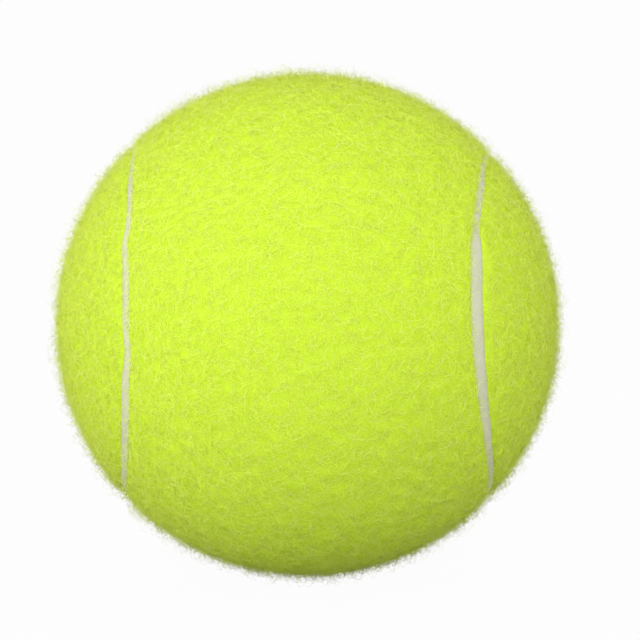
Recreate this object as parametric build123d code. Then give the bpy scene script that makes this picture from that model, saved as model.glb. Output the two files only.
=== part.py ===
from build123d import *
from build123d.topology import SkipClean
import math
import os

# Driving dimensions, in millimetres and degrees
BALL_DIAMETER = 66.7  # over the nap of the felt
FELT_THICKNESS = 3.1
BACK_COAT_THICKNESS = 0.15
CORE_COAT_THICKNESS = 0.12
CORE_WALL = 3.5
RIM_FILM = 0.2  # cement between the rims of the two cups
RIM_BEVEL = 0.7  # inner corner of each rim, which the cement fills
RIM_BEAD_RISE = 0.5  # how far the squeezed-out cement stands into the gas space
WAIST_WIDTH = 49.0  # along the ball from seam to seam, where a panel is narrowest
SEAM_WIDTH = 1.7
SEAM_RECESS = 1.1  # from the ball's round down to the seam's edges
SEAM_CROWN = 0.25  # how far the seam's middle stands above its edges
SHOULDER_WIDTH = 2.0  # rounded felt beside the seam, along the ball
SHOULDER_BREAK_ANGLE = 7.0  # angle at which the rounded felt leaves the ball's round
COVER_TIP = 30.0  # how far the front panel's waist is tipped up from the level

# Radii from the outside in: felt, its back coat, the core's cement coat, the core and the gas space
ball_radius = BALL_DIAMETER / 2
back_coat_radius = ball_radius - FELT_THICKNESS
core_coat_radius = back_coat_radius - BACK_COAT_THICKNESS
core_radius = core_coat_radius - CORE_COAT_THICKNESS
gas_radius = core_radius - CORE_WALL

# The seam is four arcs of small circles that run smoothly into each other at four crossings, which lie at
# 45 degrees on one girth of the ball. Each arc lies on a cone about an axis through the ball's centre.
# On the right of the front panel's waist that axis is X, leaned a little to the front.
crossing_angle = math.radians(45)
waist_angle = WAIST_WIDTH / 2 / ball_radius
axis_lean = math.atan2(math.sin(crossing_angle) - math.sin(waist_angle), math.cos(waist_angle))
cone_angle = math.acos(math.cos(axis_lean) * math.cos(crossing_angle))
arc_sweep = 180 + 2 * math.degrees(math.atan(math.sin(axis_lean)))

# The seam's section, as angles at the ball's centre, and the arc that rounds the felt beside it
seam_radius = ball_radius - SEAM_RECESS
seam_half_angle = SEAM_WIDTH / 2 / seam_radius
shoulder_angle = SHOULDER_WIDTH / ball_radius

# The rims of the two cups, as distances from the ball's vertical axis and from its middle plane
rim_height = RIM_FILM / 2
rim_outer = Vector(math.sqrt(core_radius**2 - rim_height**2), rim_height)
bevel_height = rim_height + RIM_BEVEL
bevel_end = Vector(math.sqrt(gas_radius**2 - bevel_height**2), bevel_height)
rim_inner = Vector(bevel_end.X + RIM_BEVEL, rim_height)


def polar(radius, angle):
    """Point of a section plane, whose X runs along the axis that the angle in radians leaves."""
    return Vector(radius * math.cos(angle), radius * math.sin(angle))


def round_edge(radius, start, end):
    """Edge of a section that follows the ball's round from one angle to another."""
    return ThreePointArc(polar(radius, start), polar(radius, (start + end) / 2), polar(radius, end))


def shoulder_rise():
    """How far the arc of a felt shoulder stands off its chord, to meet the ball's round at its break."""
    chord = polar(seam_radius, shoulder_angle) - polar(ball_radius, 0)
    level = Vector(0, 1)
    half_turn = math.radians(chord.get_angle(level) - SHOULDER_BREAK_ANGLE)
    return chord.length / 2 * math.tan(half_turn / 2)


def lobe_section(outer, inner):
    """Section of a cover layer from the arc's axis to the seam, rounded where it stands above the seam."""
    edge = cone_angle - seam_half_angle
    wall_top = min(outer, seam_radius)
    sides = [Line((inner, 0), (outer, 0)), Line(polar(inner, edge), polar(wall_top, edge))]
    rim = edge
    if outer > seam_radius:
        rim = edge - shoulder_angle
        sides.append(SagittaArc(polar(seam_radius, edge), polar(outer, rim), shoulder_rise()))
    return make_face(sides + [round_edge(inner, 0, edge), round_edge(outer, 0, rim)])


def waist_section(outer, inner):
    """Section of a cover layer from the arc's axis to well past the ball's middle, with no seam in it."""
    end = math.pi - cone_angle
    ends = [Line((inner, 0), (outer, 0)), Line(polar(inner, end), polar(outer, end))]
    return make_face(ends + [round_edge(inner, 0, end), round_edge(outer, 0, end)])


def plug_section():
    """Section of the cutter for the other panel's lobe, the seam and this panel's rounded shoulder."""
    edge = cone_angle + seam_half_angle
    rim = edge + shoulder_angle
    reach = BALL_DIAMETER
    return make_face(
        [
            Line((0, 0), polar(seam_radius, edge)),
            SagittaArc(polar(seam_radius, edge), polar(ball_radius, rim), -shoulder_rise()),
            Line(polar(ball_radius, rim), polar(reach, rim)),
            Line(polar(reach, rim), (reach, 0)),
            Line((reach, 0), (0, 0)),
        ]
    )


def bead_section():
    """Section of the seam's rubber, which fills the groove from the core's coat up to its own crown."""
    low = cone_angle - seam_half_angle
    high = cone_angle + seam_half_angle
    return make_face(
        [
            Line(polar(core_coat_radius, low), polar(seam_radius, low)),
            SagittaArc(polar(seam_radius, low), polar(seam_radius, high), -SEAM_CROWN),
            Line(polar(seam_radius, high), polar(core_coat_radius, high)),
            round_edge(core_coat_radius, low, high),
        ]
    )


def sector(section, middle, sweep):
    """A section turned about the right arc's axis: the sweep's middle is the back at 0, the front at 180."""
    start = Rot(X=middle - sweep / 2) * section
    return Rot(Z=-math.degrees(axis_lean)) * revolve(start, Axis.X, sweep)


def quarter_turned(piece):
    """The same piece on the other panel: the two panels are alike, back to back and a quarter turn apart."""
    return Rot(Y=90) * mirror(piece, Plane.XZ)


def back_panel(outer, inner):
    """The panel of a cover layer whose waist is at the back: half of it is a lobe with half the waist."""
    plug = quarter_turned(sector(plug_section(), 0, 360))
    lobe = sector(lobe_section(outer, inner), 180, arc_sweep)
    waist = split(sector(waist_section(outer, inner), 0, 360 - arc_sweep), Plane.YZ, keep=Keep.TOP)
    half = lobe.fuse(waist - plug - mirror(plug, Plane.XY), glue=True)
    return half.fuse(mirror(half, Plane.YZ), glue=True)


def seam_bead():
    """The seam as one closed ring: an arc on each side of the front waist and the same pair at the back."""
    right = sector(bead_section(), 180, arc_sweep)
    left = mirror(right, Plane.YZ)
    return right.fuse(left, quarter_turned(right), quarter_turned(left), glue=True)


def laid(piece):
    """A piece of the cover as the ball lies, with the front waist tipped up."""
    return Rot(X=-COVER_TIP) * piece


def turned(section):
    """Solid of revolution about the vertical axis, from a section drawn with its height along Y."""
    return revolve(Rot(X=90) * section, Axis.Z, 360)


def core_cup():
    """The upper half of the rubber core, with a flat rim and a bevel inside it."""
    outer_start = math.asin(rim_height / core_radius)
    inner_start = math.asin(bevel_height / gas_radius)
    pole = math.radians(90)
    section = make_face(
        [
            round_edge(core_radius, outer_start, pole),
            Line(polar(core_radius, pole), polar(gas_radius, pole)),
            round_edge(gas_radius, inner_start, pole),
            Line(bevel_end, rim_inner),
            Line(rim_inner, rim_outer),
        ]
    )
    return turned(section)


def core_joint():
    """Cement ring between the rims, with the bead that it squeezes into the two bevels."""
    upper = [Line(rim_outer, rim_inner), Line(rim_inner, bevel_end)]
    lower = [mirror(edge, Plane.XZ) for edge in upper]
    bead = ThreePointArc(bevel_end, (bevel_end.X - RIM_BEAD_RISE, 0), (bevel_end.X, -bevel_end.Y))
    outside = ThreePointArc(rim_outer, (core_radius, 0), (rim_outer.X, -rim_outer.Y))
    return turned(make_face(upper + lower + [bead, outside]))


# The parts of one round face that meet at a join stay faces of their own
with SkipClean():
    upper_cup = core_cup()
    felt_back = back_panel(ball_radius, back_coat_radius)
    backing_back = back_panel(back_coat_radius, core_coat_radius)
    bead = seam_bead()

nodes = {
    "core_cup_upper": upper_cup,
    "core_cup_lower": mirror(upper_cup, Plane.XY),
    "core_joint_cement": core_joint(),
    "core_cement_coat": Sphere(core_coat_radius) - Sphere(core_radius),
    "panel_backing_front": laid(quarter_turned(backing_back)),
    "panel_backing_back": laid(backing_back),
    "felt_panel_front": laid(quarter_turned(felt_back)),
    "felt_panel_back": laid(felt_back),
    "seam_bead": laid(bead),
}

os.makedirs("parts", exist_ok=True)
for name, piece in nodes.items():
    export_step(piece, f"parts/{name}.step")
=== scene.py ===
"""A tennis ball in a studio: felt panels with a real nap, a sunken rubber seam, and the core inside."""

import logging
import math
from dataclasses import dataclass, field
from enum import Enum

import bpy
import numpy as np
from mathutils import Matrix, Vector


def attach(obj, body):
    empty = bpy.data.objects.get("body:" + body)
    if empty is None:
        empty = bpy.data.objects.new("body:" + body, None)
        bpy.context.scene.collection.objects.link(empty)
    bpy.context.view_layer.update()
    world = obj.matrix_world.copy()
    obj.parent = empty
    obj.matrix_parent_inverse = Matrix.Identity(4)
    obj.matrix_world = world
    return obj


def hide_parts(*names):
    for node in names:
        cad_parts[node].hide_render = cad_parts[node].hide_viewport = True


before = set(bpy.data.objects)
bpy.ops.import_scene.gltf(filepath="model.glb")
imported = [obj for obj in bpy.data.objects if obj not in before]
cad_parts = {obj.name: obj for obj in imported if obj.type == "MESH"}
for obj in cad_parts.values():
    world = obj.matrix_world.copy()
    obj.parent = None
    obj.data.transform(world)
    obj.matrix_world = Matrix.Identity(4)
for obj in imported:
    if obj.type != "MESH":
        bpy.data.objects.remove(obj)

MM = 0.001
BALL_RADIUS = 33.35 * MM
COVER_TIP = math.radians(30.0)
SHARP_EDGE = math.radians(50)
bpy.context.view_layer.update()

log = logging.getLogger("tennis_ball")


class Panel(Enum):
    """The two felt panels, by the side of the seam that each lies on."""

    FRONT = 1
    BACK = -1

    @property
    def label(self) -> str:
        """Word for the panel in the names of its pieces."""
        return self.name.lower()


class Value:
    """One shader output that adds, subtracts and multiplies like a number."""

    def __init__(self, shader: "Shader", socket: bpy.types.NodeSocket) -> None:
        """Keep the socket and the tree that it belongs to."""
        self.shader = shader
        self.socket = socket

    def __add__(self, other: "Value | float") -> "Value":
        """This value plus another."""
        return self.shader.math("ADD", self, other)

    def __radd__(self, other: float) -> "Value":
        """A number plus this value."""
        return self.shader.math("ADD", other, self)

    def __sub__(self, other: "Value | float") -> "Value":
        """This value less another."""
        return self.shader.math("SUBTRACT", self, other)

    def __rsub__(self, other: float) -> "Value":
        """A number less this value."""
        return self.shader.math("SUBTRACT", other, self)

    def __mul__(self, other: "Value | float") -> "Value":
        """This value times another."""
        return self.shader.math("MULTIPLY", self, other)

    def __rmul__(self, other: float) -> "Value":
        """A number times this value."""
        return self.shader.math("MULTIPLY", other, self)


class Shader:
    """Node tree of a material or a world, built through one method for every node."""

    def __init__(self, owner: bpy.types.Material | bpy.types.World) -> None:
        """Start an empty tree.

        Args:
            owner: material or world that the tree belongs to.
        """
        owner.use_nodes = True
        self.tree = owner.node_tree
        self.tree.nodes.clear()

    def node(
        self, kind: str, settings: dict[str, object], sockets: dict[str | int, object]
    ) -> bpy.types.Node:
        """Add one node.

        Args:
            kind: type name of the node.
            settings: properties of the node, which may change its sockets.
            sockets: input values or links, by socket name or number.

        Returns:
            The new node.
        """
        made = self.tree.nodes.new(kind)
        for name, value in settings.items():
            setattr(made, name, value)
        for name, value in sockets.items():
            if isinstance(value, Value):
                self.tree.links.new(value.socket, made.inputs[name])
            else:
                made.inputs[name].default_value = value
        return made

    def out(self, made: bpy.types.Node, name: str | int = 0) -> Value:
        """One output of a node as a value."""
        return Value(self, made.outputs[name])

    def math(self, operation: str, left: Value | float, right: Value | float) -> Value:
        """Two values joined by one operation of the math node."""
        return self.out(self.node("ShaderNodeMath", {"operation": operation}, {0: left, 1: right}))

    def position(self) -> Value:
        """Object coordinates of the shaded point."""
        return self.out(self.node("ShaderNodeTexCoord", {}, {}), "Object")

    def noise(self, scale: float, detail: float, roughness: float = 0.5) -> Value:
        """Noise of a given fineness in object space, from 0 to 1."""
        sockets = {"Vector": self.position(), "Scale": scale, "Detail": detail, "Roughness": roughness}
        return self.out(self.node("ShaderNodeTexNoise", {}, sockets), "Fac")

    def blend(self, share: Value | float, low: tuple[float, ...], high: tuple[float, ...]) -> Value:
        """Colour between two others by a share from 0 to 1."""
        sockets = {0: share, 6: low, 7: high}
        return self.out(self.node("ShaderNodeMix", {"data_type": "RGBA"}, sockets), 2)

    def bump(self, height: Value, strength: float, distance: float) -> Value:
        """Normal that a height pattern bends."""
        sockets = {"Strength": strength, "Distance": distance, "Height": height}
        return self.out(self.node("ShaderNodeBump", {}, sockets), "Normal")

    def surface(self, shader: bpy.types.Node, target: str = "ShaderNodeOutputMaterial") -> None:
        """Close the tree with its output."""
        self.node(target, {}, {"Surface": self.out(shader)})


def rgba(red: float, green: float, blue: float) -> tuple[float, float, float, float]:
    """Opaque colour from three linear parts."""
    return (red, green, blue, 1.0)


@dataclass(frozen=True)
class FeltFinish:
    """Yellow felt: a dyed ground that shows between the strands of the nap, coloured deeper than the
    strands partly as painted shade of the gaps between them.
    """

    # The ground's two tones are deeper than the strands': partly the felt's own colour and partly painted
    # shade of the gaps in the nap.
    ground_deep: tuple[float, ...] = rgba(0.46, 0.68, 0.02)
    ground_light: tuple[float, ...] = rgba(0.59, 0.79, 0.05)
    strand_deep: tuple[float, ...] = rgba(0.76, 0.95, 0.04)
    strand_pale: tuple[float, ...] = rgba(0.92, 0.98, 0.38)
    through: tuple[float, ...] = rgba(0.72, 0.99, 0.01)
    passing: float = 0.04
    roughness: float = 0.95
    cloud_share: float = 0.35
    grain_relief: float = 0.6
    grain_depth: float = 0.3 * MM

    def ground(self) -> bpy.types.Material:
        """Make the woven ground under the nap, in the felt's own colour deepened by painted shade.

        Returns:
            The material.
        """
        made = bpy.data.materials.new("felt ground")
        shader = Shader(made)
        clouds = shader.noise(scale=160.0, detail=3.0)
        grain = shader.noise(scale=1500.0, detail=4.0, roughness=0.7)
        share = clouds * self.cloud_share + grain * (1 - self.cloud_share)
        sockets = {
            "Base Color": shader.blend(share, self.ground_deep, self.ground_light),
            "Roughness": self.roughness,
            "Specular IOR Level": 0.0,
            "Normal": shader.bump(grain, self.grain_relief, self.grain_depth),
        }
        shader.surface(shader.node("ShaderNodeBsdfPrincipled", {}, sockets))
        return made

    def nap(self) -> bpy.types.Material:
        """Make the strands, each a little paler or deeper than the next, which let some light through.

        Returns:
            The material.
        """
        made = bpy.data.materials.new("felt nap")
        shader = Shader(made)
        shade = shader.out(shader.node("ShaderNodeAttribute", {"attribute_name": "shade"}, {}), "Fac")
        sockets = {
            "Base Color": shader.blend(shade, self.strand_deep, self.strand_pale),
            "Roughness": self.roughness,
            "Specular IOR Level": 0.0,
        }
        solid = shader.node("ShaderNodeBsdfPrincipled", {}, sockets)
        through = shader.node("ShaderNodeBsdfTranslucent", {}, {"Color": self.through})
        mixed = {0: self.passing, 1: shader.out(solid), 2: shader.out(through)}
        shader.surface(shader.node("ShaderNodeMixShader", {}, mixed))
        return made


@dataclass(frozen=True)
class RubberFinish:
    """Matt rubber or dried cement in one colour, with a faint cloudiness."""

    name: str
    deep: tuple[float, ...]
    light: tuple[float, ...]
    roughness: float
    gloss: float = 0.3
    cloud_share: float = 0.6
    grain_relief: float = 0.15
    grain_depth: float = 0.2 * MM

    def material(self) -> bpy.types.Material:
        """Make the finish.

        Returns:
            The material.
        """
        made = bpy.data.materials.new(self.name)
        shader = Shader(made)
        clouds = shader.noise(scale=120.0, detail=4.0)
        grain = shader.noise(scale=900.0, detail=3.0)
        share = clouds * self.cloud_share + grain * (1 - self.cloud_share)
        sockets = {
            "Base Color": shader.blend(share, self.deep, self.light),
            "Roughness": self.roughness,
            "Specular IOR Level": self.gloss,
            "Normal": shader.bump(grain, self.grain_relief, self.grain_depth),
        }
        shader.surface(shader.node("ShaderNodeBsdfPrincipled", {}, sockets))
        return made


@dataclass(frozen=True)
class Arc:
    """One of the seam's four arcs, on a cone about an axis through the ball's centre."""

    axis: tuple[float, float, float]
    middle: tuple[float, float, float]
    onward: tuple[float, float, float]
    front_side: float


class Knots:
    """A value along the closed seam, given at listed stations and eased between them."""

    ROUND = 4.0

    def __init__(self, *pairs: tuple[float, float]) -> None:
        """Keep the pairs of a station and the value there."""
        self.stations = np.array([p[0] for p in pairs])
        self.values = np.array([p[1] for p in pairs])

    def at(self, station: np.ndarray) -> np.ndarray:
        """Read the value between the knots.

        Args:
            station: places along the ring.

        Returns:
            The value at each place.
        """
        stations = np.concatenate([self.stations, self.stations[:1] + self.ROUND])
        values = np.concatenate([self.values, self.values[:1]])
        turned = (station - stations[0]) % self.ROUND + stations[0]
        low = np.clip(np.searchsorted(stations, turned, side="right") - 1, 0, len(stations) - 2)
        share = (turned - stations[low]) / (stations[low + 1] - stations[low])
        eased = share * share * (3.0 - 2.0 * share)
        return values[low] + (values[low + 1] - values[low]) * eased


@dataclass(frozen=True)
class Place:
    """Where points of the ball lie to the seam."""

    lateral: np.ndarray
    station: np.ndarray
    away: np.ndarray


@dataclass
class Seam:
    """The closed line between the panels, with the wander and the width that it has on a made ball.

    The stations run from 0 to 4: down the right of the front waist, across under the ball,
    up the left of the waist and across over the ball. Lateral lengths count towards the front panel.
    """

    waist: float = 49.0 * MM
    drift: Knots = field(
        default_factory=lambda: Knots(
            (0.00, -1.4),
            (0.14, -2.0),
            (0.32, -1.05),
            (0.376, -0.5),
            (0.444, 0.17),
            (0.50, 0.14),
            (0.58, 0.29),
            (0.65, 0.13),
            (0.70, -0.18),
            (0.756, -0.58),
            (0.825, -1.05),
            (0.92, -1.4),
            (1.05, -1.0),
            (1.35, 0.2),
            (1.65, -0.3),
            (1.93, -1.3),
            (2.03, -1.2),
            (2.10, -0.75),
            (2.16, -0.5),
            (2.23, -0.18),
            (2.29, -0.05),
            (2.35, 0.45),
            (2.39, 0.02),
            (2.49, -0.11),
            (2.515, -0.28),
            (2.535, -0.62),
            (2.565, 0.0),
            (2.60, 0.19),
            (2.68, 0.05),
            (2.84, 0.12),
            (3.15, -0.3),
            (3.50, 0.25),
            (3.80, -0.4),
        )
    )
    half_width: Knots = field(
        default_factory=lambda: Knots(
            (0.15, 0.24),
            (0.26, 0.34),
            (0.33, 0.44),
            (0.40, 0.42),
            (0.445, 0.48),
            (0.475, 0.92),
            (0.60, 0.96),
            (0.70, 0.86),
            (0.78, 0.68),
            (0.90, 0.46),
            (1.05, 0.45),
            (1.40, 0.75),
            (1.80, 0.65),
            (2.10, 0.44),
            (2.20, 0.58),
            (2.29, 0.56),
            (2.36, 0.38),
            (2.45, 0.46),
            (2.53, 0.40),
            (2.62, 0.36),
            (2.70, 0.32),
            (2.78, 0.24),
            (2.90, 0.22),
            (3.20, 0.72),
            (3.60, 0.62),
        )
    )
    crossed: Knots = field(
        default_factory=lambda: Knots(
            (0.05, 0.90),
            (0.28, 0.90),
            (0.40, 0.80),
            (0.45, 0.85),
            (0.475, 0.05),
            (0.75, 0.04),
            (0.90, 0.35),
            (1.20, 0.05),
            (1.70, 0.06),
            (2.10, 0.45),
            (2.20, 0.15),
            (2.50, 0.18),
            (2.53, 0.50),
            (2.57, 0.25),
            (2.70, 0.55),
            (2.90, 0.95),
            (3.30, 0.06),
            (3.70, 0.08),
        )
    )

    def __post_init__(self) -> None:
        """Work out the four arcs from the waist."""
        half_waist = self.waist / 2 / BALL_RADIUS
        crossing = math.radians(45)
        lean = math.atan2(math.sin(crossing) - math.sin(half_waist), math.cos(half_waist))
        self.cone = math.acos(math.cos(lean) * math.cos(crossing))
        self.half_sweep = math.pi / 2 + math.atan(math.sin(lean))
        far, near = math.cos(lean), math.sin(lean)
        self.arcs = [
            Arc((far, -near, 0), (-near, -far, 0), (0, 0, -1), 1.0),
            Arc((0, near, -far), (0, far, near), (-1, 0, 0), -1.0),
            Arc((-far, -near, 0), (near, -far, 0), (0, 0, 1), 1.0),
            Arc((0, near, far), (0, far, -near), (1, 0, 0), -1.0),
        ]
        self.laid = np.array(Matrix.Rotation(-COVER_TIP, 3, "X"))

    def locate(self, points: np.ndarray) -> Place:
        """Find the nearest place of the seam for each point.

        Args:
            points: positions in the ball's frame, one to a row.

        Returns:
            The lateral distance, the station and the direction in which the lateral distance grows.
        """
        unit = points / np.linalg.norm(points, axis=1, keepdims=True)
        own = unit @ self.laid
        best = np.full(len(own), np.inf)
        lateral = np.zeros(len(own))
        station = np.zeros(len(own))
        away = np.zeros_like(own)
        for number, arc in enumerate(self.arcs):
            axis = np.array(arc.axis)
            along = own @ axis
            turn = np.arctan2(own @ np.array(arc.onward), own @ np.array(arc.middle))
            offset = np.arccos(np.clip(along, -1, 1)) - self.cone
            past = np.maximum(np.abs(turn) - self.half_sweep, 0) * math.sin(self.cone)
            distance = np.hypot(offset, past)
            nearer = distance < best
            best[nearer] = distance[nearer]
            lateral[nearer] = arc.front_side * offset[nearer] * BALL_RADIUS
            station[nearer] = number + (turn[nearer] / self.half_sweep + 1) / 2
            tangent = own * along[:, None] - axis
            tangent /= np.maximum(np.linalg.norm(tangent, axis=1, keepdims=True), 1e-9)
            away[nearer] = arc.front_side * tangent[nearer]
        return Place(lateral, station, away @ self.laid.T)

    def inset(self, points: np.ndarray, panel: Panel) -> tuple[np.ndarray, np.ndarray, np.ndarray]:
        """How far each point lies inside the edge of a panel.

        Args:
            points: positions in the ball's frame, one to a row.
            panel: the panel whose edge is meant.

        Returns:
            The distance from the edge, the direction away from it, and the station.
        """
        place = self.locate(points)
        drift = self.drift.at(place.station) * MM
        width = self.half_width.at(place.station) * MM
        inset = panel.value * (place.lateral - drift) - width
        return inset, panel.value * place.away, place.station

    def line(self, count: int) -> tuple[np.ndarray, np.ndarray, np.ndarray]:
        """Points of the wandering line.

        Args:
            count: number of points round the ring.

        Returns:
            Unit positions, unit directions towards the front panel, and stations.
        """
        station = np.arange(count) * Knots.ROUND / count
        points = np.zeros((count, 3))
        for number, arc in enumerate(self.arcs):
            here = np.floor(station).astype(int) == number
            turn = ((station[here] - number) * 2 - 1) * self.half_sweep
            angle = self.cone + arc.front_side * self.drift.at(station[here]) * MM / BALL_RADIUS
            round_axis = np.outer(np.cos(turn), arc.middle) + np.outer(np.sin(turn), arc.onward)
            points[here] = np.cos(angle)[:, None] * np.array(arc.axis) + np.sin(angle)[:, None] * round_axis
        points = points @ self.laid.T
        onward = np.roll(points, -1, axis=0) - np.roll(points, 1, axis=0)
        across = np.cross(points, onward)
        across /= np.linalg.norm(across, axis=1, keepdims=True)
        facing = self.locate(points).away
        across *= np.sign((across * facing).sum(axis=1, keepdims=True))
        return points, across, station


def finish_piece(obj: bpy.types.Object, material: bpy.types.Material) -> None:
    """Give a new piece its material and its body.

    Args:
        obj: the piece.
        material: what it is made of.
    """
    obj.data.materials.clear()
    obj.data.materials.append(material)
    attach(obj, "root")


def coordinates(mesh: bpy.types.Mesh) -> np.ndarray:
    """Read the vertex positions of a mesh.

    Args:
        mesh: the mesh.

    Returns:
        The positions, one to a row.
    """
    flat = np.empty(len(mesh.vertices) * 3)
    mesh.vertices.foreach_get("co", flat)
    return flat.reshape(-1, 3)


def put_coordinates(mesh: bpy.types.Mesh, points: np.ndarray) -> None:
    """Write vertex positions back to a mesh."""
    mesh.vertices.foreach_set("co", np.ascontiguousarray(points).ravel())
    mesh.update()


class Ripple:
    """Smooth random waves over the ball, about as high as low, with a given spacing."""

    SPREAD = (0.6, 1.4)

    def __init__(self, spacing: float, seed: int, waves: int = 36) -> None:
        """Choose the waves.

        Args:
            spacing: mean length of a wave.
            seed: start of the random choices.
            waves: how many are added up.
        """
        rng = np.random.default_rng(seed)
        direction = rng.normal(size=(3, waves))
        direction /= np.linalg.norm(direction, axis=0)
        self.turns = direction * (2 * math.pi / spacing * rng.uniform(*self.SPREAD, waves))
        self.starts = rng.uniform(0, 2 * math.pi, waves)

    def at(self, unit: np.ndarray) -> np.ndarray:
        """Height of the waves at unit positions, with a spread of about one."""
        phase = unit @ (self.turns * BALL_RADIUS) + self.starts
        return np.cos(phase).sum(axis=1) * math.sqrt(2 / len(self.starts))

    def slope(self, unit: np.ndarray) -> np.ndarray:
        """How steeply the waves climb at unit positions, along each axis."""
        phase = unit @ (self.turns * BALL_RADIUS) + self.starts
        return -np.sin(phase) @ self.turns.T * math.sqrt(2 / len(self.starts))


@dataclass
class FeltPanel:
    """One dumbbell of felt: the ground cloth, rounded over at the seam and closed on its underside."""

    panel: Panel
    seam: Seam
    ground_radius: float = 32.88 * MM
    inner_radius: float = 30.30 * MM
    shoulder_width: float = 1.6 * MM
    shoulder_drop: float = 0.45 * MM
    tuft_height: float = 0.06 * MM
    fineness: int = 7
    trim_rounds: int = 3
    tufts: Ripple = field(default_factory=lambda: Ripple(1.8 * MM, 3))

    def surface(self, unit: np.ndarray) -> np.ndarray:
        """Height of the ground: tufts on the ball's round, and a shoulder at the edge.

        Args:
            unit: unit positions, one to a row.

        Returns:
            The radius at each.
        """
        inset = np.maximum(self.seam.inset(unit, self.panel)[0], 0)
        share = np.clip(1 - inset / self.shoulder_width, 0, 1)
        drop = self.shoulder_drop * (1 - np.sqrt(1 - share * share))
        return self.ground_radius - drop + self.tuft_height * self.tufts.at(unit) * (1 - share)

    def build(self) -> bpy.types.Object:
        """Cut the panel from a sphere, round its shoulders and give it thickness.

        Returns:
            The new object.
        """
        bpy.ops.object.select_all(action="DESELECT")
        bpy.ops.mesh.primitive_ico_sphere_add(subdivisions=self.fineness, radius=self.ground_radius)
        obj = bpy.context.object
        obj.name = f"felt_{self.panel.label}"
        mesh = obj.data
        points = coordinates(mesh)
        corners = np.empty(len(mesh.polygons) * 3, int)
        mesh.polygons.foreach_get("vertices", corners)
        centres = points[corners.reshape(-1, 3)].mean(axis=1)
        outside = self.seam.inset(centres, self.panel)[0] < 0
        bpy.ops.object.mode_set(mode="EDIT")
        bpy.ops.mesh.select_mode(type="FACE")
        bpy.ops.mesh.select_all(action="DESELECT")
        bpy.ops.object.mode_set(mode="OBJECT")
        mesh.polygons.foreach_set("select", outside)
        bpy.ops.object.mode_set(mode="EDIT")
        bpy.ops.mesh.delete(type="FACE")
        bpy.ops.object.mode_set(mode="OBJECT")
        self.trim_edge(mesh)
        solid = obj.modifiers.new("thickness", "SOLIDIFY")
        solid.thickness = self.ground_radius - self.inner_radius
        solid.offset = -1
        bpy.ops.object.modifier_apply(modifier=solid.name)
        points = coordinates(mesh)
        outer, inner = np.split(points, 2)
        inner[:] = outer / np.linalg.norm(outer, axis=1, keepdims=True) * self.inner_radius
        put_coordinates(mesh, points)
        bpy.ops.object.shade_smooth_by_angle(angle=SHARP_EDGE)
        return obj

    def trim_edge(self, mesh: bpy.types.Mesh) -> None:
        """Bring the open edge onto the panel's outline and lay the surface to its height.

        Args:
            mesh: the cut sphere.
        """
        points = coordinates(mesh)
        edges = np.empty(len(mesh.edges) * 2, int)
        mesh.edges.foreach_get("vertices", edges)
        corners = np.empty(len(mesh.loops), int)
        mesh.loops.foreach_get("edge_index", corners)
        uses = np.bincount(corners, minlength=len(mesh.edges))
        rim = np.unique(edges.reshape(-1, 2)[uses == 1])
        for _ in range(self.trim_rounds):
            inset, away, _ = self.seam.inset(points[rim], self.panel)
            moved = points[rim] - away * inset[:, None]
            points[rim] = moved / np.linalg.norm(moved, axis=1, keepdims=True) * self.ground_radius
        unit = points / np.linalg.norm(points, axis=1, keepdims=True)
        put_coordinates(mesh, unit * self.surface(unit)[:, None])

    def dress(self, obj: bpy.types.Object, finish: FeltFinish, nap: list[bpy.types.Object]) -> None:
        """Args:
            obj: the panel.
            finish: the felt.
            nap: pieces of the nap that stands on the panel; not used.
        """
        finish_piece(obj, finish.ground())
        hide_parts(f"felt_panel_{self.panel.label}")


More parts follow.
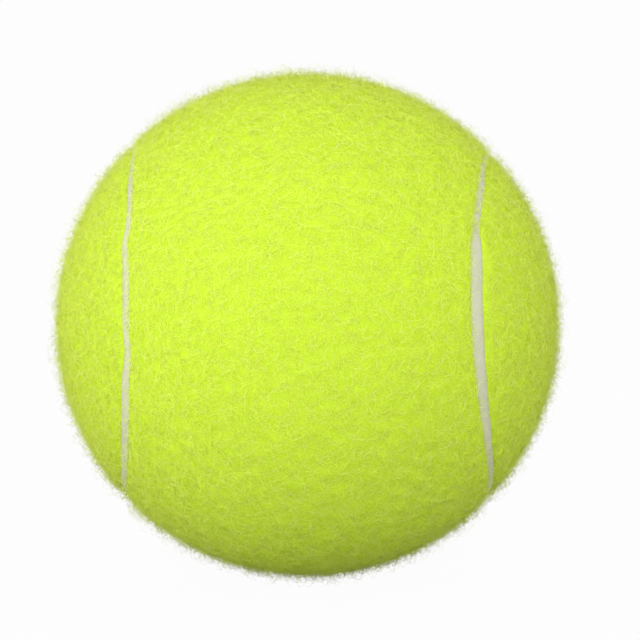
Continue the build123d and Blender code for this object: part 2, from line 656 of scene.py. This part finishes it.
@dataclass
class Nap:
    """Raised strands of one panel: thin, curled, tapered, and combed together in tufts."""

    felt: FeltPanel
    name: str
    strands: int
    pieces: int
    steps: int
    shortest: float
    longest: float
    thinnest: float
    thickest: float
    mean_rise: float
    top_rise: float
    curl: float
    lightness: float
    spread: float
    seed: int
    scatter: float = 0.16 * MM
    combing: float = 0.2
    overhang: float = 0.45 * MM
    softness: float = 0.78
    relief: float = 0.065 * MM
    stray_share: float = 0.8
    raggedness: float = 0.8
    most_ragged: float = 2.5
    least_inward: float = 0.05
    shortest_cut: float = 0.35 * MM
    tuft_share: float = 0.08
    tuft_limits: tuple[float, float] = (0.2, 2.0)
    least_rise: float = 0.10 * MM
    full_rise: float = 0.4
    crest: float = 0.62
    droop: tuple[float, float] = (0.3, 1.0)
    root_depth: float = 0.12 * MM
    thinning: float = 0.55
    swirls: tuple[Ripple, ...] = field(
        default_factory=lambda: tuple(Ripple(2.4 * MM, seed) for seed in (20, 21, 22))
    )

    RING = 3
    TAPER_PLACES = (0.0, 0.3, 1.0)
    TAPER_WIDTHS = (0.8, 1.0, 0.5)

    def roots(self, rng: np.random.Generator) -> np.ndarray:
        """Strew points evenly over the panel.

        Args:
            rng: source of the random choices.

        Returns:
            Unit positions inside the panel's edge, and some strays over the seam where fibres cross it.
        """
        count = 2 * self.strands
        number = np.arange(count) + 0.5
        height = 1 - 2 * number / count
        turn = number * math.pi * (1 + math.sqrt(5))
        girth = np.sqrt(1 - height * height)
        unit = np.stack([girth * np.cos(turn), girth * np.sin(turn), height], axis=1)
        unit += rng.normal(0, self.scatter / BALL_RADIUS, unit.shape)
        unit /= np.linalg.norm(unit, axis=1, keepdims=True)
        inset, _, station = self.felt.seam.inset(unit, self.felt.panel)
        stray = rng.random(count) < self.felt.seam.crossed.at(station) * self.stray_share
        return unit[(inset > 0) | (stray & (inset > -self.overhang))]

    def headings(self, unit: np.ndarray, rng: np.random.Generator) -> np.ndarray:
        """Choose where each strand heads, partly at random and partly with its tuft.

        Args:
            unit: unit positions of the roots.
            rng: source of the random choices.

        Returns:
            Unit directions along the ball.
        """
        combed = np.stack([swirl.at(unit) for swirl in self.swirls], axis=1)
        heading = rng.normal(size=unit.shape) + self.combing * combed
        heading -= unit * (heading * unit).sum(axis=1, keepdims=True)
        return heading / np.linalg.norm(heading, axis=1, keepdims=True)

    def lengths(self, unit: np.ndarray, heading: np.ndarray, rng: np.random.Generator) -> np.ndarray:
        """Choose how long each strand is, where most end at the panel's edge.

        Args:
            unit: unit positions of the roots.
            heading: unit directions of the strands.
            rng: source of the random choices.

        Returns:
            The lengths.
        """
        length = rng.uniform(self.shortest, self.longest, len(unit))
        inset, away, station = self.felt.seam.inset(unit, self.felt.panel)
        inward = np.maximum(-(heading * away).sum(axis=1), self.least_inward)
        ragged = np.clip(1 + self.raggedness * self.swirls[0].at(unit), 0, self.most_ragged)
        room = (inset + self.overhang * ragged * rng.random(len(unit))) / inward
        bound = rng.random(len(unit)) > self.felt.seam.crossed.at(station)
        return np.where(bound, np.minimum(length, np.maximum(room, self.shortest_cut)), length)

    def paths(self, rng: np.random.Generator) -> np.ndarray:
        """Draw the middle lines of the strands.

        Args:
            rng: source of the random choices.

        Returns:
            Positions by strand, step from the root, and axis.
        """
        unit = self.roots(rng)
        count = len(unit)
        heading = self.headings(unit, rng)
        length = self.lengths(unit, heading, rng)
        share = length / self.longest
        bend = rng.normal(0, self.curl, count) * share
        tuft = np.clip(1 + self.tuft_share * self.felt.tufts.at(unit), *self.tuft_limits)
        rise = np.minimum(rng.exponential(self.mean_rise, count) * tuft, self.top_rise)
        rise = (rise + self.least_rise) * np.minimum(share / self.full_rise, 1)
        droop = rng.uniform(*self.droop, count)
        along = np.linspace(0, 1, self.steps)
        climb = np.sin(np.minimum(along / self.crest, 1) * math.pi / 2)
        fall = np.clip((along - self.crest) / (1 - self.crest), 0, 1)
        lift = rise[:, None] * (climb - fall * (1 - droop)[:, None])
        lift[:, 0] = -self.root_depth
        step = (length / (self.steps - 1) / BALL_RADIUS)[:, None]
        turn = (bend / (self.steps - 1))[:, None]
        path = np.empty((count, self.steps, 3))
        for number in range(self.steps):
            path[:, number] = unit * (self.felt.surface(unit) + lift[:, number])[:, None]
            heading = heading * np.cos(turn) + np.cross(unit, heading) * np.sin(turn)
            unit = unit + heading * step
            unit /= np.linalg.norm(unit, axis=1, keepdims=True)
            heading -= unit * (heading * unit).sum(axis=1, keepdims=True)
            heading /= np.linalg.norm(heading, axis=1, keepdims=True)
        return path

    def tubes(self, path: np.ndarray, rng: np.random.Generator) -> np.ndarray:
        """Give the strands their thickness, as rings of three and a pointed tip.

        Args:
            path: middle lines of the strands.
            rng: source of the random choices.

        Returns:
            Vertices by strand.
        """
        reach = np.linalg.norm(path[:, -2], axis=1) - self.felt.ground_radius
        thickness = rng.uniform(self.thinnest, self.thickest, len(path))
        thickness *= 1 - self.thinning * np.clip(reach / self.top_rise, 0, 1)
        ahead = np.diff(path, axis=1)
        tangent = ahead.copy()
        tangent[:, 1:] += ahead[:, :-1]
        tangent /= np.linalg.norm(tangent, axis=2, keepdims=True)
        centre = path[:, :-1]
        side = np.cross(centre, tangent)
        side /= np.linalg.norm(side, axis=2, keepdims=True)
        up = np.cross(tangent, side)
        places = np.linspace(0, 1, self.steps)[:-1]
        taper = np.interp(places, self.TAPER_PLACES, self.TAPER_WIDTHS)
        verts = np.empty((len(path), self.RING * (self.steps - 1) + 1, 3))
        for corner in range(self.RING):
            angle = 2 * math.pi * corner / self.RING
            spoke = side * math.cos(angle) + up * math.sin(angle)
            verts[:, corner : -1 : self.RING] = centre + spoke * (thickness[:, None] * taper)[:, :, None]
        verts[:, -1] = path[:, -1]
        return verts

    def faces(self) -> tuple[list[tuple[int, ...]], list[tuple[float, float]]]:
        """Lay out one strand.

        Returns:
            Its faces, and the place of each face corner in the strand's own cell of the map.
        """
        rings = self.steps - 1
        tip = self.RING * rings
        faces: list[tuple[int, ...]] = [(0, 2, 1)]
        spots = [(0.1, 0.05), (0.9, 0.05), (0.5, 0.1)]
        rows = np.linspace(0.1, 0.95, rings + 1)
        columns = np.linspace(0.1, 0.9, self.RING + 1)
        for ring in range(rings):
            for corner in range(self.RING):
                low = ring * self.RING + corner
                beside = ring * self.RING + (corner + 1) % self.RING
                left, right = columns[corner : corner + 2]
                base, head = rows[ring : ring + 2]
                if ring == rings - 1:
                    faces.append((low, beside, tip))
                    spots += [(left, base), (right, base), ((left + right) / 2, head)]
                else:
                    faces.append((low, beside, beside + self.RING, low + self.RING))
                    spots += [(left, base), (right, base), (right, head), (left, head)]
        return faces, spots

    def soft_normals(self, verts: np.ndarray) -> np.ndarray:
        """Turn the normals part of the way to the tufted pile's, which takes light as one surface.

        Args:
            verts: vertices by strand.

        Returns:
            Unit normals, one to a vertex.
        """
        rings = verts[:, :-1].reshape(len(verts), -1, self.RING, 3)
        spokes = rings - rings.mean(axis=2, keepdims=True)
        spokes /= np.linalg.norm(spokes, axis=3, keepdims=True)
        own = np.concatenate([spokes.reshape(len(verts), -1, 3), np.zeros((len(verts), 1, 3))], axis=1)
        ball = verts / np.linalg.norm(verts, axis=2, keepdims=True)
        slope = self.felt.tufts.slope(ball[:, 0])
        slope -= ball[:, 0] * (slope * ball[:, 0]).sum(axis=1, keepdims=True)
        pile = ball - self.relief * slope[:, None]
        blend = (own * (1 - self.softness) + pile * self.softness).reshape(-1, 3)
        return blend / np.linalg.norm(blend, axis=1, keepdims=True)

    def mesh(self, name: str, verts: np.ndarray, shade: np.ndarray) -> bpy.types.Object:
        """Make one piece of the nap.

        Args:
            name: name of the piece.
            verts: vertices by strand.
            shade: lightness of each strand, from 0 to 1.

        Returns:
            The new object.
        """
        count, size = verts.shape[:2]
        faces, spots = self.faces()
        lengths = np.array([len(face) for face in faces])
        corners = np.concatenate([np.array(face) for face in faces])
        loops = (np.arange(count)[:, None] * size + corners).ravel()
        totals = np.tile(lengths, count)
        mesh = bpy.data.meshes.new(name)
        mesh.vertices.add(count * size)
        mesh.vertices.foreach_set("co", verts.ravel())
        mesh.loops.add(len(loops))
        mesh.loops.foreach_set("vertex_index", loops)
        mesh.polygons.add(len(totals))
        mesh.polygons.foreach_set("loop_start", np.cumsum(totals) - totals)
        mesh.polygons.foreach_set("use_smooth", np.ones(len(totals), bool))
        mesh.update(calc_edges=True)
        mesh.normals_split_custom_set_from_vertices(self.soft_normals(verts))
        mesh.attributes.new("shade", "FLOAT", "POINT").data.foreach_set("value", np.repeat(shade, size))
        side = math.ceil(math.sqrt(count))
        cell = np.stack([np.arange(count) % side, np.arange(count) // side], axis=1)
        spread = (cell[:, None, :] + np.array(spots)[None]) / side
        mesh.uv_layers.new(name="OFBake").data.foreach_set("uv", spread.ravel())
        obj = bpy.data.objects.new(name, mesh)
        bpy.context.scene.collection.objects.link(obj)
        return obj

    def build(self) -> list[bpy.types.Object]:
        """Grow the strands and share them out in pieces along the panel's length.

        Returns:
            The pieces.
        """
        rng = np.random.default_rng(self.seed + self.felt.panel.value)
        path = self.paths(rng)
        verts = self.tubes(path, rng)
        shade = np.clip(rng.normal(self.lightness, self.spread, len(path)), 0, 1)
        own = path[:, 0] @ self.felt.seam.laid
        if self.felt.panel is Panel.FRONT:
            order = np.argsort(np.arctan2(own[:, 2], -own[:, 1]))
        else:
            order = np.argsort(np.arctan2(own[:, 0], own[:, 1]))
        made = []
        for number, share in enumerate(np.array_split(order, self.pieces)):
            name = f"{self.name}_{self.felt.panel.label}_{number + 1}"
            made.append(self.mesh(name, verts[share], shade[share]))
        return made

    def dress(self, pieces: list[bpy.types.Object], material: bpy.types.Material) -> None:
        """Give every piece the nap's finish.

        Args:
            pieces: pieces of the nap.
            material: what they are made of.
        """
        for obj in pieces:
            finish_piece(obj, material)


def under_nap(felt: FeltPanel) -> Nap:
    """Set out the dense short strands that make the felt's body.

    Args:
        felt: the panel that they stand on.

    Returns:
        The nap.
    """
    return Nap(
        felt,
        name="nap",
        strands=58000,
        pieces=6,
        steps=3,
        shortest=0.8 * MM,
        longest=2.2 * MM,
        thinnest=0.018 * MM,
        thickest=0.034 * MM,
        mean_rise=0.43 * MM,
        top_rise=1.3 * MM,
        curl=1.4,
        lightness=0.18,
        spread=0.08,
        seed=11,
    )


def long_fibres(felt: FeltPanel) -> Nap:
    """Set out the longer pale fibres that curl over the others and stand out of the ball's round.

    Args:
        felt: the panel that they stand on.

    Returns:
        The nap.
    """
    return Nap(
        felt,
        name="fibres",
        strands=13000,
        pieces=2,
        steps=5,
        shortest=1.4 * MM,
        longest=3.2 * MM,
        thinnest=0.015 * MM,
        thickest=0.026 * MM,
        mean_rise=0.64 * MM,
        top_rise=1.9 * MM,
        curl=2.8,
        lightness=0.52,
        spread=0.15,
        seed=41,
    )


@dataclass
class SeamBead:
    """The rubber that fills the groove between the panels, a little uneven along its length."""

    seam: Seam
    lengthwise: int = 256
    crown_radius: float = BALL_RADIUS - 0.62 * MM
    edge_radius: float = BALL_RADIUS - 0.80 * MM
    foot_radius: float = 30.12 * MM
    overlap: float = 0.3 * MM
    lump_height: float = 0.05 * MM
    lump_rounds: int = 3
    seed: int = 5

    SECTION = (
        (-1.0, 0.0),
        (-1.0, 0.5),
        (-1.0, 1.0),
        (-0.66, 1.55),
        (-0.33, 1.88),
        (0.0, 2.0),
        (0.33, 1.88),
        (0.66, 1.55),
        (1.0, 1.0),
        (1.0, 0.5),
        (1.0, 0.0),
        (0.0, 0.0),
    )

    def build(self) -> bpy.types.Object:
        """Lay a ring along the seam and give it the groove's section.

        Returns:
            The new object.
        """
        bpy.ops.object.select_all(action="DESELECT")
        bpy.ops.mesh.primitive_torus_add(
            major_segments=self.lengthwise,
            minor_segments=len(self.SECTION),
            major_radius=BALL_RADIUS,
            minor_radius=1.0 * MM,
        )
        obj = bpy.context.object
        obj.name = "seam_rubber"
        middle, across, station = self.seam.line(self.lengthwise)
        width = self.seam.half_width.at(station) * MM + self.overlap
        rng = np.random.default_rng(self.seed)
        lumps = rng.normal(0, 1, self.lengthwise)
        for _ in range(self.lump_rounds):
            lumps = (np.roll(lumps, 1) + lumps + np.roll(lumps, -1)) / 3
        points = np.empty((self.lengthwise, len(self.SECTION), 3))
        for number, (side, level) in enumerate(self.SECTION):
            low = self.foot_radius + (self.edge_radius - self.foot_radius) * min(level, 1.0)
            radius = low + (self.crown_radius - self.edge_radius) * max(level - 1.0, 0.0)
            raised = radius + lumps * self.lump_height * min(level, 1.0)
            turned = middle + across * (side * width / BALL_RADIUS)[:, None]
            turned /= np.linalg.norm(turned, axis=1, keepdims=True)
            points[:, number] = turned * raised[:, None]
        put_coordinates(obj.data, points.reshape(-1, 3))
        bpy.ops.object.mode_set(mode="EDIT")
        bpy.ops.mesh.select_all(action="SELECT")
        bpy.ops.mesh.normals_make_consistent(inside=False)
        bpy.ops.object.mode_set(mode="OBJECT")
        rounding = obj.modifiers.new("rounding", "SUBSURF")
        rounding.levels = rounding.render_levels = 1
        bpy.ops.object.modifier_apply(modifier=rounding.name)
        bpy.ops.object.shade_smooth_by_angle(angle=SHARP_EDGE)
        return obj

    def dress(self, obj: bpy.types.Object, finish: RubberFinish) -> None:
        """Give the seam its rubber and let it stand for the CAD bead."""
        finish_piece(obj, finish.material())
        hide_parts("seam_bead")


@dataclass
class Core:
    """The pieces inside the cover, which stay as the CAD made them."""

    finishes: dict[str, tuple[str, ...]] = field(
        default_factory=lambda: {
            "core_rubber": ("core_cup_upper", "core_cup_lower"),
            "cement": ("core_joint_cement", "core_cement_coat"),
            "back_coat": ("panel_backing_front", "panel_backing_back"),
        }
    )

    def dress(self) -> None:
        """Give each hidden piece the finish of its slot."""
        looks = {
            "core_rubber": RubberFinish(
                "core rubber", rgba(0.028, 0.028, 0.030), rgba(0.05, 0.05, 0.053), 0.8
            ),
            "cement": RubberFinish("cement", rgba(0.40, 0.33, 0.16), rgba(0.52, 0.44, 0.24), 0.5),
            "back_coat": RubberFinish("back coat", rgba(0.30, 0.28, 0.16), rgba(0.40, 0.37, 0.23), 0.8),
        }
        for slot, names in self.finishes.items():
            material = looks[slot].material()
            for name in names:
                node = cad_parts[name]
                node.data.materials.clear()
                node.data.materials.append(material)
                log.info("%s: as the CAD made it, in %s", name, material.name)


@dataclass
class Studio:
    """Pale floor, white surround, a soft key light beside the camera and a weaker light on each side."""

    floor_size: float = 12.0
    floor_level: float = -BALL_RADIUS - 0.6 * MM
    floor_grey: float = 0.45
    shadow_share: float = 0.03
    surround_light: float = 1.0
    key_power: float = 6.3
    key_size: float = 0.9
    key_place: tuple[float, float, float] = (-0.15, -0.84, 0.23)
    side_size: float = 0.25
    left_power: float = 1.25
    left_place: tuple[float, float, float] = (-0.78, -0.34, 0.11)
    right_power: float = 0.85
    right_place: tuple[float, float, float] = (0.8, -0.22, 0.22)

    def floor(self) -> None:
        """Lay the floor, which keeps a faint shadow and is otherwise as white as the surround."""
        bpy.ops.object.select_all(action="DESELECT")
        bpy.ops.mesh.primitive_plane_add(size=self.floor_size, location=(0, 0, self.floor_level))
        floor = bpy.context.object
        floor.name = "floor"
        made = bpy.data.materials.new("pale floor")
        shader = Shader(made)
        path = shader.node("ShaderNodeLightPath", {}, {})
        seen = shader.out(path, "Is Camera Ray")
        for ray in ("Is Glossy Ray", "Is Transmission Ray"):
            seen = shader.math("MAXIMUM", seen, shader.out(path, ray))
        white = shader.node("ShaderNodeEmission", {}, {"Color": rgba(1, 1, 1), "Strength": 1.0})
        grey = rgba(self.floor_grey, self.floor_grey, self.floor_grey)
        matt = shader.node("ShaderNodeBsdfDiffuse", {}, {"Color": grey})
        matt_share = 1.0 - seen * (1.0 - self.shadow_share)
        sockets = {0: matt_share, 1: shader.out(white), 2: shader.out(matt)}
        shader.surface(shader.node("ShaderNodeMixShader", {}, sockets))
        floor.data.materials.append(made)

    def surround(self) -> None:
        """Light the ball evenly from a white world."""
        world = bpy.data.worlds.new("surround")
        bpy.context.scene.world = world
        shader = Shader(world)
        sockets = {"Color": rgba(1, 1, 1), "Strength": self.surround_light}
        shader.surface(shader.node("ShaderNodeBackground", {}, sockets), "ShaderNodeOutputWorld")

    def lamp(self, name: str, place: tuple[float, float, float], power: float, size: float) -> None:
        """Hang one soft square light that faces the ball.

        Args:
            name: name of the light.
            place: where it hangs.
            power: in watts.
            size: length of its sides.
        """
        bpy.ops.object.light_add(type="AREA", location=place)
        lamp = bpy.context.object
        lamp.name = name
        lamp.data.energy = power
        lamp.data.size = size
        lamp.rotation_euler = (-Vector(place)).to_track_quat("-Z", "Y").to_euler()

    def build(self) -> None:
        """Set up floor, surround, the key light above the camera and a weaker light on each side."""
        self.floor()
        self.surround()
        self.lamp("key", self.key_place, self.key_power, self.key_size)
        self.lamp("left", self.left_place, self.left_power, self.side_size)
        self.lamp("right", self.right_place, self.right_power, self.side_size)
        log.info("studio: floor, surround and three lights")


@dataclass
class PhotoCamera:
    """The camera, by the turns that bring the ball's seam to where it is seen."""

    distance: float = BALL_RADIUS * 10
    yaw: float = math.radians(-1.73)
    pitch: float = math.radians(-18.72)
    roll: float = math.radians(0.12)
    lens: float = 140.6
    sensor: float = 36.0
    sight: tuple[float, float] = (0.01, 20.0)
    shift: tuple[float, float] = (0.0195, 0.0075)

    def build(self) -> None:
        """Place the camera and make it the scene's."""
        turn = (
            Matrix.Rotation(self.roll, 3, "Y")
            @ Matrix.Rotation(self.pitch, 3, "X")
            @ Matrix.Rotation(self.yaw, 3, "Z")
            @ Matrix.Rotation(COVER_TIP, 3, "X")
        ).transposed()
        right, forward, up = turn.col[0], turn.col[1], turn.col[2]
        data = bpy.data.cameras.new("camera")
        data.lens = self.lens
        data.sensor_width = self.sensor
        data.shift_x, data.shift_y = self.shift
        data.clip_start, data.clip_end = self.sight
        camera = bpy.data.objects.new("camera", data)
        bpy.context.scene.collection.objects.link(camera)
        facing = Matrix((right, up, -forward)).transposed().to_4x4()
        camera.matrix_world = Matrix.Translation(-forward * self.distance) @ facing
        bpy.context.scene.camera = camera
        log.info("camera: %.0f mm from the ball's centre", self.distance / MM)


def main() -> None:
    """Build the ball and the studio round it."""
    logging.basicConfig(level=logging.INFO, format="%(message)s")
    bpy.context.scene.view_settings.view_transform = "Standard"
    seam = Seam()
    felt = FeltFinish()
    strands = felt.nap()
    for side in Panel:
        panel = FeltPanel(side, seam)
        ground = panel.build()
        pieces: list[bpy.types.Object] = []
        for nap in (under_nap(panel), long_fibres(panel)):
            made = nap.build()
            nap.dress(made, strands)
            pieces += made
        panel.dress(ground, felt, pieces)
        for piece in (ground, *pieces):
            log.info("%s: %d faces", piece.name, len(piece.data.polygons))
    bead = SeamBead(seam)
    rubber = bead.build()
    bead.dress(rubber, RubberFinish("seam rubber", rgba(0.43, 0.43, 0.31), rgba(0.61, 0.61, 0.47), 0.75))
    log.info("%s: %d faces", rubber.name, len(rubber.data.polygons))
    Core().dress()
    Studio().build()
    PhotoCamera().build()


if __name__ == "__main__":
    main()
